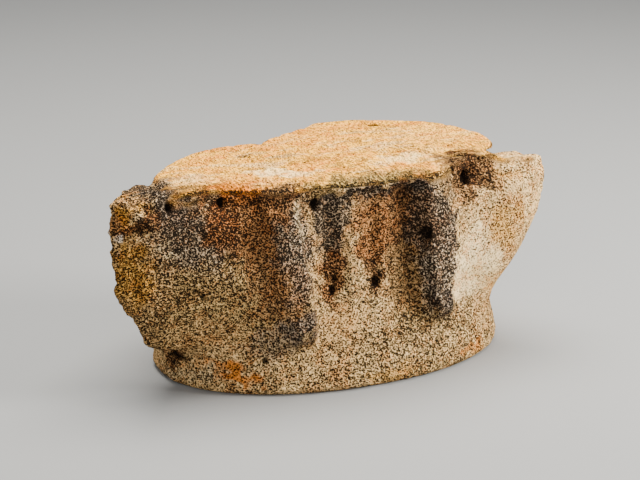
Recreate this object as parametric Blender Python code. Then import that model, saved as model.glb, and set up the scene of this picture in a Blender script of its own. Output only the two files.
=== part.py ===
# A baleen whale's vertebra: the drum-shaped body of the bone with the broken roots of its processes.
# It stands on its lower end face. +X runs along the transverse processes, -Y is the dorsal side
# and +Z is the vertebra's own axis. Lengths are in metres.
import bmesh
import bpy
import numpy as np

NAME = "whale_vertebra"

# The drum
HEIGHT = 0.160
LOWER_HALF_WIDTH = 0.1415
LOWER_HALF_DEPTH = 0.0925
UPPER_HALF_WIDTH = 0.1360
UPPER_HALF_DEPTH = 0.0885
LOWER_SHIFT = 0.0030          # the lower end sits this far towards +X
SQUARENESS = 2.1              # 2 would be an ellipse
WAIST_DEPTH = 0.0055
LOWER_ROUND = 0.0065
UPPER_ROUND = 0.0045
BEVEL_DEPTH = 0.017           # the worn edge along the dorsal front of the upper face
BEVEL_HEIGHT = 0.009
BEVEL_DEGREES = (255, 58, 20)     # middle, half width and fade

# The transverse processes, as stations up the wall: share of the height at the drum,
# reach from the drum's axis, height at the tip
LEFT_PROCESS = (
    (0.16, 0.125, 0.0256), (0.21, 0.145, 0.0350), (0.26, 0.166, 0.0415), (0.44, 0.174, 0.0660),
    (0.56, 0.187, 0.0880), (0.83, 0.1895, 0.1455), (0.87, 0.188, 0.1525), (0.94, 0.160, 0.1535),
    (0.97, 0.146, 0.1570), (1.00, 0.132, 0.1600),
)
RIGHT_PROCESS = (
    (0.18, 0.120, 0.0288), (0.36, 0.126, 0.0560), (0.52, 0.144, 0.0820), (0.66, 0.1575, 0.1070),
    (0.78, 0.1625, 0.1280), (0.86, 0.163, 0.1445), (0.885, 0.161, 0.1475), (0.94, 0.128, 0.1475),
    (0.965, 0.114, 0.1550), (1.00, 0.114, 0.1600),
)
LEFT_SLANT = 0.50             # the left tip is broken off at a slant: loss of reach per metre of depth
SLANT_START = -0.055
LEFT_VENTRAL_EDGE = (0.003, -0.012)
RIGHT_VENTRAL_EDGE = (-0.006, -0.022)
DORSAL_EDGE = (-0.086, -0.053)
FOOT_LEAN = 0.014             # the dorsal edge runs this far back at the foot
LEFT_LIFT = (0.004, 0.0)      # rise of the top's dorsal edge and of the tip
RIGHT_LIFT = (0.0050, 0.0008)
STATION_BLUR = 0.014          # rounds the corners between stations
FOOT_OF_PROCESS = (0.14, 0.20)
SECTION_FOR_PROCESS = 0.70    # the height share whose section says where a process starts

# The upper rim broken away at the ventral left: degrees round from +X, and radius left
BREAK = (
    (60, 0.130), (70, 0.091), (76, 0.0765), (90, 0.062), (111, 0.0556), (131, 0.0535),
    (151, 0.0825), (169, 0.112), (179, 0.128), (190, 0.160),
)
BREAK_SLOPE = 0.75
BREAK_BLEND = 0.006

# The dorsal upper edge broken back at both sides: x and how far back
CORNER_CUTS = (
    (-0.185, 0.0), (-0.150, 0.005), (-0.122, 0.011), (-0.092, 0.008), (-0.055, 0.0),
    (0.062, 0.0), (0.080, 0.013), (0.096, 0.018), (0.113, 0.007), (0.128, 0.0),
)
CUT_ROWS = (0.79, 0.92)           # height shares between which the cut deepens

# The hollow broken out under the right end of the upper plate, and the notch under its thin lip
HOLLOW_DEGREES = -22
HOLLOW_HEIGHT = 0.142
HOLLOW_DEPTH = 0.0065
LIP_DEGREES = -10
LIP_HEIGHT = 0.1530
LIP_DEPTH = 0.0065
LIP_SHARPNESS = 0.75              # share of the upper round that the lip is without

# The dorsal side: two pedicle roots with a knob at each foot, and the canal floor between them
RIGHT_PEDICLE = (0.062, 0.053)    # x at the foot and at the top
LEFT_PEDICLE = (-0.055, -0.069)
PEDICLE_RISE = (0.05, 0.15)       # between these heights a root leans from its foot to its top
PEDICLE_HEIGHT = 0.0058
KNOB_HEIGHT = 0.0055
RIGHT_KNOB = (0.062, 0.053)
LEFT_KNOB = (-0.053, 0.047)
CANAL_DEPTH = 0.0050
RECESS_DEPTH = 0.0042             # deeper again beside the right pedicle
GROOVES = (-0.031, 0.003)
GROOVE_DEPTH = 0.0034

# Oval swellings and hollows of the dorsal wall. In millimetres and degrees: x, z, half length,
# half height, turn, rise
MARKS = (
    (-85, 114, 20, 34, 0, -4.2), (-68, 41, 17, 7, 36, 2.6), (-86, 62, 30, 16, 10, -1.2),
    (-158, 148, 16, 7, -30, -2.0), (-122, 148, 14, 7, 10, 1.4), (-128, 100, 26, 18, 0, 1.3),
    (-138, 62, 22, 12, 20, -1.5), (-104, 140, 8, 12, 0, -2.0), (34, 143, 12, 8, 0, -2.6),
    (-13, 92, 7, 40, 0, 1.8), (38, 84, 9, 44, 4, -2.4), (52, 32, 16, 7, -8, -1.6),
    (96, 112, 18, 34, -10, -2.0), (128, 92, 16, 22, -35, 1.4),
)

# The ventral side: a low keel between two shallow hollows
KEEL_X = 0.004
KEEL_HEIGHT = 0.003
VENTRAL_HOLLOWS = (-0.045, 0.052)

# The upper end face
CROWN = 0.0012
WAVE = 0.0006

# The mesh: columns round the wall, rows up it and rings on the end faces
COLUMNS = 128
WALL_ROWS = 36
LOWER_RINGS = 2
UPPER_RINGS = 9
SPACING_ROW = 0.78                # columns are spaced along the section at this height share
DORSAL_CROWDING = 0.9             # more columns where the dorsal relief is
RIM_CROWDING = 0.1                # more rows near both rims

BONE_COLOUR = (0.52, 0.40, 0.26, 1.0)
BONE_ROUGHNESS = 0.85


def ease(start, end, value):
    """0 before start and 1 past end, with a smooth step between."""
    share = np.clip((value - start) / (end - start), 0, 1)
    return share * share * (3 - 2 * share)


def band(centre, half, fade, value):
    """1 within half of centre, falling to 0 over fade beyond it."""
    return 1 - ease(half, half + fade, np.abs(value - centre))


def soft_max(first, second, blend):
    share = np.clip(0.5 + 0.5 * (first - second) / blend, 0, 1)
    return second + (first - second) * share + blend * share * (1 - share)


def soft_min(first, second, blend):
    return -soft_max(-first, -second, blend)


def rim_round(depth_below_rim, radius):
    """How far a rounded rim falls short of the full section."""
    share = np.clip(1 - depth_below_rim / radius, 0, 1)
    return radius * (1 - np.sqrt(1 - share * share))


def station(stations, field, row):
    """A process's stations read at a row, averaged over a short stretch."""
    table = np.array(stations)
    reach = np.minimum(STATION_BLUR, 1 - row)
    total = 0
    for offset, weight in ((-1, 1), (-0.5, 2), (0, 2), (0.5, 2), (1, 1)):
        total = total + weight * np.interp(row + offset * reach, table[:, 0], table[:, field])
    return total / 8


def drum(turn, row):
    """The drum alone: a squared ellipse at each height, waisted, rounded and broken."""
    z = HEIGHT * row
    waist = WAIST_DEPTH * ease(0, 0.28, row) * ease(1.0, 0.86, row)
    half_width = LOWER_HALF_WIDTH + (UPPER_HALF_WIDTH - LOWER_HALF_WIDTH) * row - waist
    half_depth = LOWER_HALF_DEPTH + (UPPER_HALF_DEPTH - LOWER_HALF_DEPTH) * row - waist
    across = np.abs(np.cos(turn) / half_width) ** SQUARENESS
    along = np.abs(np.sin(turn) / half_depth) ** SQUARENESS
    radius = (across + along) ** (-1 / SQUARENESS)

    degrees = np.degrees(np.mod(turn, 2 * np.pi))
    from_right = np.mod(degrees + 180, 360) - 180
    at_lip = band(LIP_DEGREES, 10, 8, from_right)
    radius = radius - rim_round(z, LOWER_ROUND)
    radius = radius - rim_round(HEIGHT - z, UPPER_ROUND * (1 - LIP_SHARPNESS * at_lip))
    worn = BEVEL_DEPTH / BEVEL_HEIGHT * band(*BEVEL_DEGREES, degrees)
    radius = radius - worn * rim_round(HEIGHT - z, BEVEL_HEIGHT)

    hollow = band(HOLLOW_DEGREES, 12, 14, from_right) * band(HOLLOW_HEIGHT, 0.005, 0.008, z)
    radius = radius - HOLLOW_DEPTH * hollow
    radius = radius - LIP_DEPTH * at_lip * band(LIP_HEIGHT, 0.0015, 0.0022, z)

    angle, left = np.array(BREAK, dtype=float).T
    edge = np.interp(degrees, angle, left, left=1, right=1)
    radius = soft_min(radius, edge + BREAK_SLOPE * (HEIGHT - z), BREAK_BLEND)
    return radius * np.cos(turn) + LOWER_SHIFT * (1 - row), radius * np.sin(turn), z


def process_share(turn, row, side, ventral_edge):
    """1 on the columns that run up a transverse process, 0 away from it."""
    x, y, _ = drum(turn, SECTION_FOR_PROCESS)
    lean = FOOT_LEAN * ease(0.50, 0.15, row)
    return ease(*ventral_edge, y) * ease(*DORSAL_EDGE, y - lean) * (side * x > 0)


def wall(turn, row):
    """The whole side of the bone, from the lower rim at row 0 to the upper rim at row 1."""
    x, y, z = drum(turn, row)
    narrow_foot = 1 + 2.0 * ease(0.62, 0.18, row)
    rise = ease(*FOOT_OF_PROCESS, row)
    for side, stations, ventral_edge, slant, lifts in (
        (-1, LEFT_PROCESS, LEFT_VENTRAL_EDGE, LEFT_SLANT, LEFT_LIFT),
        (1, RIGHT_PROCESS, RIGHT_VENTRAL_EDGE, 0.0, RIGHT_LIFT),
    ):
        share = process_share(turn, row, side, ventral_edge)
        slanted = slant * np.maximum(y - SLANT_START, 0) * ease(1.0, 0.9, row)
        reach = station(stations, 1, row) - slanted
        growth = soft_max(reach - np.abs(x), 0 * x, 0.005) * rise * ease(1.0, 0.985, row)
        x = x + side * growth * share ** narrow_foot
        lift = lifts[0] * ease(-0.030, -0.058, y) + lifts[1] * ease(0.125, 0.150, np.abs(x))
        lift = lift * ease(0.66, 0.84, row) * ease(1.0, 0.96, row)
        z = z + (station(stations, 2, row) - HEIGHT * row + lift) * share * rise
    cut_x, cut_depth = np.array(CORNER_CUTS).T
    cut = np.interp(x, cut_x, cut_depth) * ease(*CUT_ROWS, row)
    dorsal_side = ease(0.30, 0.72, -y / UPPER_HALF_DEPTH)
    y = y + (cut - dorsal_relief(x, z)) * dorsal_side
    y = y + ventral_relief(x, z) * ease(0.5, 0.9, y / UPPER_HALF_DEPTH)
    return x, y, z + face_relief(x, y) * ease(0.86, 1.0, row)


def dorsal_relief(x, z):
    """Height of the pedicle roots and marks above the dorsal wall, less the canal floor and grooves."""
    right = RIGHT_PEDICLE[0] + (RIGHT_PEDICLE[1] - RIGHT_PEDICLE[0]) * ease(*PEDICLE_RISE, z)
    left = LEFT_PEDICLE[0] + (LEFT_PEDICLE[1] - LEFT_PEDICLE[0]) * ease(*PEDICLE_RISE, z)
    right_root = ease(right - 0.014, right - 0.006, x) * ease(right + 0.030, right + 0.006, x)
    left_root = band(left, 0.007, 0.010, x)
    height = PEDICLE_HEIGHT * right_root * band(0.098, 0.044, 0.016, z)
    height = height + PEDICLE_HEIGHT * left_root * band(0.096, 0.044, 0.016, z)
    for knob_x, knob_z in (RIGHT_KNOB, LEFT_KNOB):
        height = height + KNOB_HEIGHT * band(knob_x, 0.005, 0.008, x) * band(knob_z, 0.005, 0.008, z)

    canal_length = ease(0.038, 0.064, z) * ease(0.159, 0.147, z)
    right_bank = ease(right - 0.006, right - 0.020, x)
    height = height - CANAL_DEPTH * ease(left + 0.006, left + 0.026, x) * right_bank * canal_length
    height = height - RECESS_DEPTH * ease(0.008, 0.030, x) * right_bank * canal_length
    for groove in GROOVES:
        length = ease(0.070, 0.086, z) * ease(0.157, 0.144, z)
        height = height - GROOVE_DEPTH * band(groove, 0.001, 0.010, x) * length
    for mark_x, mark_z, half_length, half_height, degrees, mark_rise in MARKS:
        tilt = np.radians(degrees)
        step_x, step_z = x * 1000 - mark_x, z * 1000 - mark_z
        along = (step_x * np.cos(tilt) + step_z * np.sin(tilt)) / half_length
        across = (step_z * np.cos(tilt) - step_x * np.sin(tilt)) / half_height
        height = height + 0.001 * mark_rise * ease(1.0, 0.25, np.hypot(along, across))
    return height


def ventral_relief(x, z):
    """Height of the keel and of the hollows beside it."""
    keel = KEEL_HEIGHT * band(KEEL_X, 0.004, 0.022, x)
    for hollow in VENTRAL_HOLLOWS:
        keel = keel - KEEL_HEIGHT * band(hollow, 0.010, 0.025, x)
    return keel * ease(0.02, 0.06, z) * ease(0.13, 0.09, z)


def face_relief(x, y):
    """The upper end face: a low crown with a slight wave."""
    out = np.sqrt((x / UPPER_HALF_WIDTH) ** 2 + (y / UPPER_HALF_DEPTH) ** 2)
    return CROWN * (1 - ease(0.2, 0.95, out)) - WAVE * np.sin(60 * x + 0.6) * np.cos(75 * y)


def column_turn(share):
    """Turn about the axis of the column at this share of the way round, by arc length."""
    turn = np.linspace(0, 2 * np.pi, 8001)
    x, y, _ = wall(turn, SPACING_ROW)
    crowding = 1 + DORSAL_CROWDING * ease(-0.03, -0.06, y[1:]) * ease(0.13, 0.10, np.abs(x[1:]))
    steps = crowding * np.hypot(np.diff(x), np.diff(y))
    run = np.concatenate([[0], np.cumsum(steps)])
    return np.interp(share * run[-1], run, turn)


def surface(share_round, level):
    """The closed surface. Levels count the rings and rows up from the middle of the lower face."""
    turn = column_turn(share_round)
    even = np.clip((level - LOWER_RINGS) / (WALL_ROWS - 1), 0, 1)
    x, y, z = wall(turn, even - RIM_CROWDING * np.sin(2 * np.pi * even))
    inward = np.minimum(level / LOWER_RINGS, (LEVELS - level) / UPPER_RINGS)
    inward = np.clip(inward, 0, 1)
    x, y = x * inward, y * inward
    z = np.where(level > LOWER_RINGS + WALL_ROWS - 1, HEIGHT + face_relief(x, y), z)
    return np.stack([x, y, z], axis=-1)


LEVELS = LOWER_RINGS + WALL_ROWS - 1 + UPPER_RINGS


def make_bone_material():
    material = bpy.data.materials.new("bone")
    material.use_nodes = True
    shader = material.node_tree.nodes["Principled BSDF"]
    shader.inputs["Base Color"].default_value = BONE_COLOUR
    shader.inputs["Roughness"].default_value = BONE_ROUGHNESS
    shader.inputs["Metallic"].default_value = 0.0
    return material


def make_vertebra(collection):
    """A sphere whose meridians become the columns, and whose parallels the rings and rows."""
    shape = bmesh.new()
    bmesh.ops.create_uvsphere(shape, u_segments=COLUMNS, v_segments=LEVELS, radius=1.0)
    unit = np.array([vertex.co for vertex in shape.verts], dtype=float)
    share_round = np.mod(np.arctan2(unit[:, 1], unit[:, 0]) / (2 * np.pi), 1)
    level = np.round(LEVELS * (1 - np.arccos(np.clip(unit[:, 2], -1, 1)) / np.pi))
    points = surface(share_round, level)
    middle = (points.min(axis=0) + points.max(axis=0)) / 2
    points = points - (middle[0], middle[1], 0)
    for vertex, point in zip(shape.verts, points):
        vertex.co = point
    bmesh.ops.triangulate(shape, faces=shape.faces[:])

    mesh = bpy.data.meshes.new(NAME)
    shape.to_mesh(mesh)
    shape.free()
    mesh.shade_smooth()
    mesh.materials.append(make_bone_material())
    bone = bpy.data.objects.new(NAME, mesh)
    collection.objects.link(bone)
    print("vertebra: axis at x", round(-middle[0], 5), "y", round(-middle[1], 5))


for old in list(bpy.data.objects):
    bpy.data.objects.remove(old, do_unlink=True)
parts = bpy.data.collections.new(NAME)
bpy.context.scene.collection.children.link(parts)
make_vertebra(parts)
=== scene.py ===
import math

import bpy
import numpy as np
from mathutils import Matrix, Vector


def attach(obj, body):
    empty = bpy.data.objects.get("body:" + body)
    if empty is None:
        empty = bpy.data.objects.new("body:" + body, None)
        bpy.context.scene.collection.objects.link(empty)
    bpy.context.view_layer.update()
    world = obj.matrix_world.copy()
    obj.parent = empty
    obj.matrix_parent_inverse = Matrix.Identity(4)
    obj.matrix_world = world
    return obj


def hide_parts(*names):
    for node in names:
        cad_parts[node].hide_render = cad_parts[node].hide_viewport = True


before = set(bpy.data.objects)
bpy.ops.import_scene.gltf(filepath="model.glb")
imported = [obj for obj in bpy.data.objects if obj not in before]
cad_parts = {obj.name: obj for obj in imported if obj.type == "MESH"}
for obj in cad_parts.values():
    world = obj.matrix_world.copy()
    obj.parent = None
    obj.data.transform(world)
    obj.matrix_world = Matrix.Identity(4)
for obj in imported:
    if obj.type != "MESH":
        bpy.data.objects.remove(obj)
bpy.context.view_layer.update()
print("frame loaded:", list(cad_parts))

# Lengths are in metres. The bone's own axis is the drum's, and axisX is where it stands in the frame.
# +X runs along the transverse processes, -Y is the dorsal side and +Z is up.


# Small tools for the shapes

def ease(start, end, value):
    # 0 before start, 1 past end, and 3s^2 - 2s^3 between
    share = np.clip((value - start) / (end - start), 0, 1)
    return share * share * (3 - 2 * share)


def band(centre, half, fade, value):
    # 1 within half of centre, eased to 0 over fade beyond it
    return 1 - ease(half, half + fade, np.abs(value - centre))


def softMax(first, second, blend):
    # the larger of two, with a parabola over the corner
    share = np.clip(0.5 + 0.5 * (first - second) / blend, 0, 1)
    return second + (first - second) * share + blend * share * (1 - share)


def softMin(first, second, blend):
    # the smaller of two, rounded the same way
    return -softMax(-first, -second, blend)


def easeFrom(middle, limits, value):
    # ease between two limits counted from middle
    return ease(middle + limits[0], middle + limits[1], value)


lattice = {
    "period": 512,           # cubes along each axis before the pattern repeats
    "offset": 64.0,          # keeps the cubes' numbers above 0
    "gain": 1.6,             # brings the noise to about -1 to 1
}


def latticeKeys(order, cubes):
    # one number for each cube: the shuffled order looked up axis by axis
    x, y, z = (cubes % lattice["period"]).T
    return order[(order[(order[x] + y) % lattice["period"]] + z) % lattice["period"]]


def noise(points, size, seed):
    # gradient noise: a random slope at each corner of a cube lattice, blended by 6t^5 - 15t^4 + 10t^3
    draw = np.random.default_rng(seed)
    order = draw.permutation(lattice["period"])
    slopes = draw.normal(size=(lattice["period"], 3))
    slopes /= np.linalg.norm(slopes, axis=1, keepdims=True)
    place = points / size + lattice["offset"]
    corner = np.floor(place).astype(int)
    inside = place - corner
    fade = inside ** 3 * (inside * (inside * 6 - 15) + 10)
    total = 0.0
    for step in np.ndindex(2, 2, 2):
        key = latticeKeys(order, corner + step)
        share = np.prod(np.where(step, fade, 1 - fade), axis=1)
        total = total + share * np.einsum("ij,ij->i", slopes[key], inside - step)
    return total * lattice["gain"]


def roughness(points, size, seed, octaves=3):
    # noise, plus half as much at half the size, and so on
    return sum(noise(points, size / 2 ** n, seed + n) / 2 ** n for n in range(octaves))


def cells(points, size, seed):
    # distance to the nearest of one random point in each cube, in cube sides
    draw = np.random.default_rng(seed)
    order = draw.permutation(lattice["period"])
    spots = draw.random(size=(lattice["period"], 3))
    place = points / size + lattice["offset"]
    corner = np.floor(place).astype(int)
    nearest = np.full(len(points), np.inf)
    for step in np.ndindex(3, 3, 3):
        cube = corner + np.array(step) - 1
        away = np.linalg.norm(cube + spots[latticeKeys(order, cube)] - place, axis=1)
        nearest = np.minimum(nearest, away)
    return nearest


# The bone's form
# A row is a share of the height. Two numbers are mostly the limits of an ease, and three the middle,
# half and fade of a band.

bone = {
    "axisX": 0.01225,
    "height": 0.160,
    "lowerHalf": (0.1415, 0.0925),
    "upperHalf": (0.1360, 0.0885),
    "lowerShift": 0.0030,
    "squareness": 2.1,
    "waist": 0.0055,
    "waistFoot": (0, 0.28),                 # the rows over which it sets in from either end
    "waistTop": (1.0, 0.86),
    "lowerRound": 0.0065,
    "upperRound": 0.0045,
    "bevel": (0.017, 0.009),                # depth and height of the worn edge along the dorsal front
    "bevelTurns": (255, 58, 20),            # degrees round from +X
    # degrees round from +X, and the radius left where the upper rim is broken away
    "breakEdge": ((60, 0.130), (70, 0.091), (76, 0.0765), (90, 0.062), (111, 0.0556), (131, 0.0535),
                  (151, 0.0825), (169, 0.112), (179, 0.128), (190, 0.160)),
    "breakSlope": 0.75,
    "breakBlend": 0.006,
    # x, and how far the dorsal upper edge is broken back there, deepening over the cut rows
    "cornerCuts": ((-0.185, 0.0), (-0.150, 0.005), (-0.122, 0.011), (-0.092, 0.008), (-0.055, 0.0),
                   (0.062, 0.0), (0.080, 0.013), (0.096, 0.018), (0.113, 0.007), (0.128, 0.0)),
    "cutRows": (0.79, 0.92),
    # under the upper plate's right end: depth, and bands in degrees and height
    "hollow": (0.0065, (-22, 12, 14), (0.142, 0.005, 0.008)),
    # the same for the notch right under the plate's thin lip
    "lip": (0.0065, (-10, 10, 8), (0.1530, 0.0015, 0.0022)),
    "lipSharpness": 0.75,                   # how much of the rim's round is lost there
    # the line round the lower end plate: depth, and band in height
    "growthLine": (0.0004, (0.0085, 0.0003, 0.0018)),
}

meshing = {
    "columns": 640,                         # round the wall; a multiple of 4
    "rows": 100,
    "rowShift": 0.08,                       # moves the rows towards both rims
    "lowerRings": (0.97, 0.9, 0.75, 0.5, 0.25),
    "samples": 8001,                        # points that the columns are spaced by
    "sectionRow": 0.78,
    "crowding": 0.9,                        # the dorsal side gets this share more columns
    "crowdedY": (-0.03, -0.06),
    "crowdedX": (0.13, 0.10),
}

# stations up a process: 0 the row at the drum, 1 the reach, 2 the height at the tip
processes = {
    "left": {
        "side": -1, "slant": 0.50, "ventralEdge": (0.003, -0.012), "frontLift": 0.004, "tipLift": 0.0,
        "stations": ((0.16, 0.125, 0.0256), (0.21, 0.145, 0.0350), (0.26, 0.166, 0.0415),
                     (0.44, 0.174, 0.0660), (0.56, 0.187, 0.0880), (0.83, 0.1895, 0.1455),
                     (0.87, 0.188, 0.1525), (0.94, 0.160, 0.1535), (0.97, 0.146, 0.1570),
                     (1.00, 0.132, 0.1600)),
    },
    "right": {
        "side": 1, "slant": 0.0, "ventralEdge": (-0.006, -0.022), "frontLift": 0.0050, "tipLift": 0.0008,
        "stations": ((0.18, 0.120, 0.0288), (0.36, 0.126, 0.0560), (0.52, 0.144, 0.0820),
                     (0.66, 0.1575, 0.1070), (0.78, 0.1625, 0.1280), (0.86, 0.163, 0.1445),
                     (0.885, 0.161, 0.1475), (0.94, 0.128, 0.1475), (0.965, 0.114, 0.1550),
                     (1.00, 0.114, 0.1600)),
    },
    "sectionRow": 0.70,                     # a column's share of a process is read at this row
    "dorsalEdge": (-0.086, -0.053),
    "footLean": 0.014,                      # the dorsal edge runs this far back at the foot
    "leanRows": (0.50, 0.15),
    "riseRows": (0.14, 0.20),               # a process starts over these rows
    "narrowing": 2.0,                       # its share of a column is raised to this power more at its foot
    "narrowRows": (0.62, 0.18),
    "slantStart": -0.055,
    "slantRows": (1.0, 0.9),
    "reachRows": (1.0, 0.985),
    "reachBlend": 0.005,
    "frontLiftY": (-0.030, -0.058),
    "tipLiftX": (0.125, 0.150),
    "liftRows": (0.66, 0.84),
    "liftEndRows": (1.0, 0.96),
    "blur": 0.014,
    "blurTaps": ((-1, 1), (-0.5, 2), (0, 2), (0.5, 2), (1, 1)),     # offset in blurs, and weight
}

dorsal = {
    "depthShares": (0.30, 0.72),            # the relief sets in over these shares of the half depth
    "rightRoot": (0.062, 0.053),            # x at the foot and at the top
    "leftRoot": (-0.055, -0.069),
    "rootClimb": (0.05, 0.15),              # heights of the roots' foot and top
    "rightRootInner": (-0.014, -0.006),     # from the root's own x
    "rightRootOuter": (0.030, 0.006),
    "leftRootWidth": (0.007, 0.010),        # half and fade
    "rightRootLength": (0.098, 0.044, 0.016),
    "leftRootLength": (0.096, 0.044, 0.016),
    "rootHeight": 0.0058,
    "knobHeight": 0.0055,
    "knobSize": (0.005, 0.008),             # half and fade
    "knobs": ((0.062, 0.053), (-0.053, 0.047)),
    "canalDepth": 0.0050,
    "canalFoot": (0.038, 0.064),
    "canalTop": (0.159, 0.147),
    "leftBank": (0.006, 0.026),             # from each root's own x
    "rightBank": (-0.006, -0.020),
    "recessDepth": 0.0042,
    "recessX": (0.008, 0.030),
    "grooves": (-0.031, 0.003),
    "grooveDepth": 0.0034,
    "grooveWidth": (0.001, 0.010),          # half and fade
    "grooveFoot": (0.070, 0.086),
    "grooveTop": (0.157, 0.144),
    "markEdge": (1.0, 0.25),                # a mark rises from its edge to this share of its size
    # oval marks, in millimetres and degrees: x, z, half length, half height, turn, rise
    "marks": (
        (-85, 114, 20, 34, 0, -4.2),
        (-68, 41, 17, 7, 36, 2.6),
        (-86, 62, 30, 16, 10, -1.2),
        (-171, 136, 15, 3.6, 36, -2.6),
        (-176, 127, 15, 5.0, 36, 1.5),
        (-158, 148, 16, 7, -30, -2.0),
        (-122, 148, 14, 7, 10, 1.4),
        (-128, 100, 26, 18, 0, 1.3),
        (-138, 62, 22, 12, 20, -1.5),
        (-104, 140, 8, 12, 0, -2.0),
        (-12, 148, 26, 5, 5, -2.2),
        (34, 143, 12, 8, 0, -2.6),
        (-13, 92, 7, 40, 0, 1.8),
        (38, 84, 9, 44, 4, -2.4),
        (52, 32, 16, 7, -8, -1.6),
        (96, 112, 18, 34, -10, -2.0),
        (128, 92, 16, 22, -35, 1.4),
        (70, 152, 5, 9, 0, 1.8),
    ),
}

ventral = {
    "depthShares": (0.5, 0.9),
    "height": 0.003,                        # of the keel, and depth of the hollows
    "keel": (0.004, 0.004, 0.022),
    "hollows": (-0.045, 0.052),
    "hollowWidth": (0.010, 0.025),          # half and fade
    "foot": (0.02, 0.06),
    "top": (0.13, 0.09),
}

upperFace = {
    "rows": (0.86, 1.0),                    # the relief sets in over these rows of the wall
    "crown": 0.0012,
    "crownFall": (0.2, 0.95),               # shares of the way out to the rim
    "waveHeight": 0.0006,
    "waveX": (60, 0.6),                     # radians a metre, and at the middle
    "waveY": 75,
}

# millimetres from the drum's axis: x, y, z, half width, half height, depth
holes = (
    (-147.8, -65, 149.6, 3.2, 4.2, 4.5),
    (-109.3, -72, 149.8, 3.2, 3.6, 4.0),
    (-41.7, -77, 143.5, 3.8, 4.4, 4.5),
    (-27.9, -78, 76.1, 2.8, 3.4, 4.0),
    (-26.0, -77, 84.0, 2.4, 3.0, 2.0),
    (6.6, -79, 78.5, 3.0, 4.6, 3.0),
    (45.6, -83, 111.9, 3.6, 6.5, 4.5),
    (73.7, -77, 153.0, 2.0, 5.0, 3.5),
    (89.4, -75, 145.0, 4.2, 5.0, 4.5),
    (-126.4, -69, 82.8, 1.7, 2.2, 2.5),
    (-131.4, -69, 87.8, 1.5, 1.7, 2.0),
    (-131.0, -25, 21.5, 3.4, 1.6, 3.0),
    (-134.0, -18, 25.0, 2.4, 1.4, 2.5),
    (-48.0, -86, 40.0, 1.8, 1.8, 2.5),
    (-80.0, -76, 27.0, 2.2, 2.6, 2.5),
    (69.5, 58.0, 160.0, 4.6, 4.4, 4.0),
    (-63.0, 9.0, 161.0, 5.5, 3.0, 3.0),
    (95.0, -49.5, 159.0, 11.0, 1.8, 3.0),
    (-14.0, 84, 88.0, 4.0, 5.5, 5.0),
    (19.0, 84, 79.0, 3.4, 4.6, 4.0),
    (-52.0, 74, 66.0, 2.2, 2.6, 2.5),
    (63.0, 70, 97.0, 2.4, 2.8, 2.5),
)


def rimRound(below, radius):
    # a quarter circle's shortfall at this distance below the rim
    share = np.clip(1 - below / radius, 0, 1)
    return radius * (1 - np.sqrt(1 - share * share))


def stationAt(stations, field, row):
    # one field of the stations, joined by straight lines and averaged over five rows close by
    table = np.array(stations)
    reach = np.minimum(processes["blur"], 1 - row)
    total, weights = 0, 0
    for offset, weight in processes["blurTaps"]:
        total = total + weight * np.interp(row + offset * reach, table[:, 0], table[:, field])
        weights += weight
    return total / weights


def wholeRadius(turn, row):
    # (|cos/a|^n + |sin/b|^n)^(-1/n) out from the axis, with a and b waisted,
    # less the rims' rounds, the line round the lower plate, the hollow and the lip's notch
    z = bone["height"] * row
    waist = bone["waist"] * ease(*bone["waistFoot"], row) * ease(*bone["waistTop"], row)
    halfWidth = bone["lowerHalf"][0] + (bone["upperHalf"][0] - bone["lowerHalf"][0]) * row - waist
    halfDepth = bone["lowerHalf"][1] + (bone["upperHalf"][1] - bone["lowerHalf"][1]) * row - waist
    power = bone["squareness"]
    across = np.abs(np.cos(turn) / halfWidth) ** power
    along = np.abs(np.sin(turn) / halfDepth) ** power
    radius = (across + along) ** (-1 / power)

    degrees = np.degrees(np.mod(turn, 2 * np.pi))
    fromRight = np.mod(degrees + 180, 360) - 180
    bevelDepth, bevelHeight = bone["bevel"]
    worn = bevelDepth * band(*bone["bevelTurns"], degrees) / bevelHeight
    lipDepth, lipTurns, lipHeights = bone["lip"]
    atLip = band(*lipTurns, fromRight)
    upperRound = bone["upperRound"] * (1 - bone["lipSharpness"] * atLip)
    radius = radius - rimRound(z, bone["lowerRound"]) - rimRound(bone["height"] - z, upperRound)
    radius = radius - worn * rimRound(bone["height"] - z, bevelHeight)
    lineDepth, lineHeights = bone["growthLine"]
    radius = radius - lineDepth * band(*lineHeights, z)

    hollowDepth, hollowTurns, hollowHeights = bone["hollow"]
    radius = radius - hollowDepth * band(*hollowTurns, fromRight) * band(*hollowHeights, z)
    return radius - lipDepth * atLip * band(*lipHeights, z)


def breakRadius(turn, row):
    # a cone's slope falling outwards from the broken edge of the upper face
    angle, left = np.array(bone["breakEdge"], dtype=float).T
    edge = np.interp(np.degrees(np.mod(turn, 2 * np.pi)), angle, left, left=1, right=1)
    return edge + bone["breakSlope"] * bone["height"] * (1 - row)


def drumAt(turn, row):
    # a point of the drum: the smaller of the two radii, turned round the axis, which leans
    radius = softMin(wholeRadius(turn, row), breakRadius(turn, row), bone["breakBlend"])
    return radius * np.cos(turn) + bone["lowerShift"] * (1 - row), radius * np.sin(turn), bone["height"] * row


def processShare(turn, row, process):
    # 1 on the columns of a transverse process, read from the drum's depth at one row
    x, y = drumAt(turn, processes["sectionRow"])[:2]
    lean = processes["footLean"] * ease(*processes["leanRows"], row)
    share = ease(*process["ventralEdge"], y) * ease(*processes["dorsalEdge"], y - lean)
    return share * (process["side"] * x > 0)


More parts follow.
